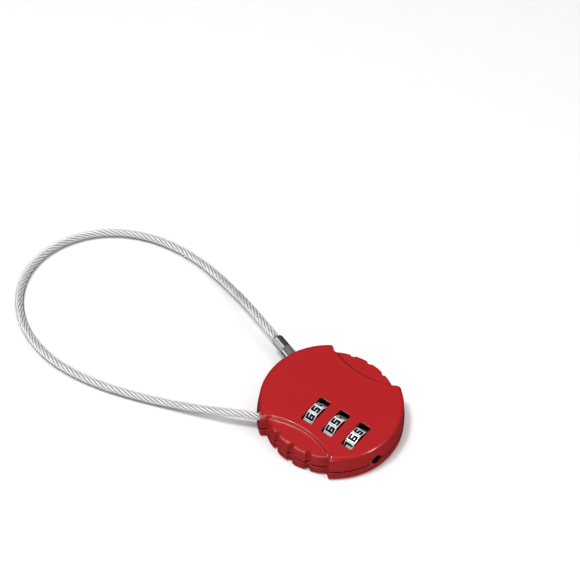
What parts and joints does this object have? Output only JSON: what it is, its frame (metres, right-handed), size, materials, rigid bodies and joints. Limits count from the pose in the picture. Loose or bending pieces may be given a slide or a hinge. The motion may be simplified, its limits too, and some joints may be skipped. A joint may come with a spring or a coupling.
{
  "type": "cable luggage lock",
  "caption": "Round luggage lock with number wheels in its face and a loop of steel cable whose plug end seats in the side of the case.",
  "frame": {"origin": "middle of the case's back face, which lies on the ground", "axes": "+Z out of the face with the wheel windows, +X along the wheel shaft towards the reset button, +Y from the wheels to the plug side"},
  "size_m": [0.1688, 0.0786, 0.0127],
  "materials": {
    "case_paint": "smooth red paint",
    "wheel_plate": "pale silver plating",
    "cam_brass": "plain",
    "inner_steel": "plain",
    "spring_steel": "plain",
    "plug_chrome": "polished",
    "cable_steel": "twisted strands under clear plastic"
  },
  "bodies": {
    "casing": {"front_shell": "case_paint", "back_shell": "case_paint", "detent_spring": "spring_steel", "bar_cover": "inner_steel", "cover_screw_1": "inner_steel", "cover_screw_2": "inner_steel", "cable_anchor": "cam_brass", "case_rivet_1": "inner_steel", "case_rivet_2": "inner_steel", "case_rivet_3": "inner_steel", "case_rivet_4": "inner_steel", "lock_cable": "cable_steel", "reset_spring": "spring_steel", "bar_spring_1": "spring_steel", "bar_spring_2": "spring_steel"},
    "dial_1": {"dial_wheel_1": "wheel_plate"},
    "dial_2": {"dial_wheel_2": "wheel_plate"},
    "dial_3": {"dial_wheel_3": "wheel_plate"},
    "shaft": {"dial_shaft": "inner_steel", "shaft_clip": "inner_steel", "spring_washer": "inner_steel"},
    "cam_1": {"cam_sleeve_1": "cam_brass"},
    "cam_2": {"cam_sleeve_2": "cam_brass"},
    "cam_3": {"cam_sleeve_3": "cam_brass"},
    "lock_slide": {"lock_bar": "inner_steel"},
    "plug": {"lock_pin": "plug_chrome", "tip_ferrule": "plug_chrome"}
  },
  "joints": [
    {"name": "dial_1_spin", "type": "hinge", "parent": "casing", "child": "dial_1", "pos_m": [-0.0018, -0.0076, 0.00695], "axis": [1, 0, 0], "continuous": true},
    {"name": "dial_2_spin", "type": "hinge", "parent": "casing", "child": "dial_2", "pos_m": [0.0075, -0.0076, 0.00695], "axis": [1, 0, 0], "continuous": true},
    {"name": "dial_3_spin", "type": "hinge", "parent": "casing", "child": "dial_3", "pos_m": [0.0168, -0.0076, 0.00695], "axis": [1, 0, 0], "continuous": true},
    {"name": "shaft_push", "type": "slide", "parent": "casing", "child": "shaft", "axis": [-1, 0, 0], "range_m": [0, 0.0016], "stiffness_N_per_m": 600, "deforming": ["reset_spring"]},
    {"name": "cam_1_turn", "type": "hinge", "parent": "shaft", "child": "cam_1", "pos_m": [-0.0018, -0.0076, 0.00695], "axis": [1, 0, 0], "continuous": true},
    {"name": "cam_2_turn", "type": "hinge", "parent": "shaft", "child": "cam_2", "pos_m": [0.0075, -0.0076, 0.00695], "axis": [1, 0, 0], "continuous": true},
    {"name": "cam_3_turn", "type": "hinge", "parent": "shaft", "child": "cam_3", "pos_m": [0.0168, -0.0076, 0.00695], "axis": [1, 0, 0], "continuous": true},
    {"name": "bar_slide", "type": "slide", "parent": "casing", "child": "lock_slide", "axis": [0, 1, 0], "range_m": [0, 0.001], "deforming": ["bar_spring_1", "bar_spring_2"]},
    {"name": "plug_pull", "type": "slide", "parent": "casing", "child": "plug", "axis": [-0.947, 0.3211, 0], "range_m": [0, 0.02], "deforming": ["lock_cable"]}
  ],
  "couplings": [
    {"joint": "cam_1_turn", "follows": "dial_1_spin", "ratio": 1},
    {"joint": "cam_2_turn", "follows": "dial_2_spin", "ratio": 1},
    {"joint": "cam_3_turn", "follows": "dial_3_spin", "ratio": 1}
  ]
}
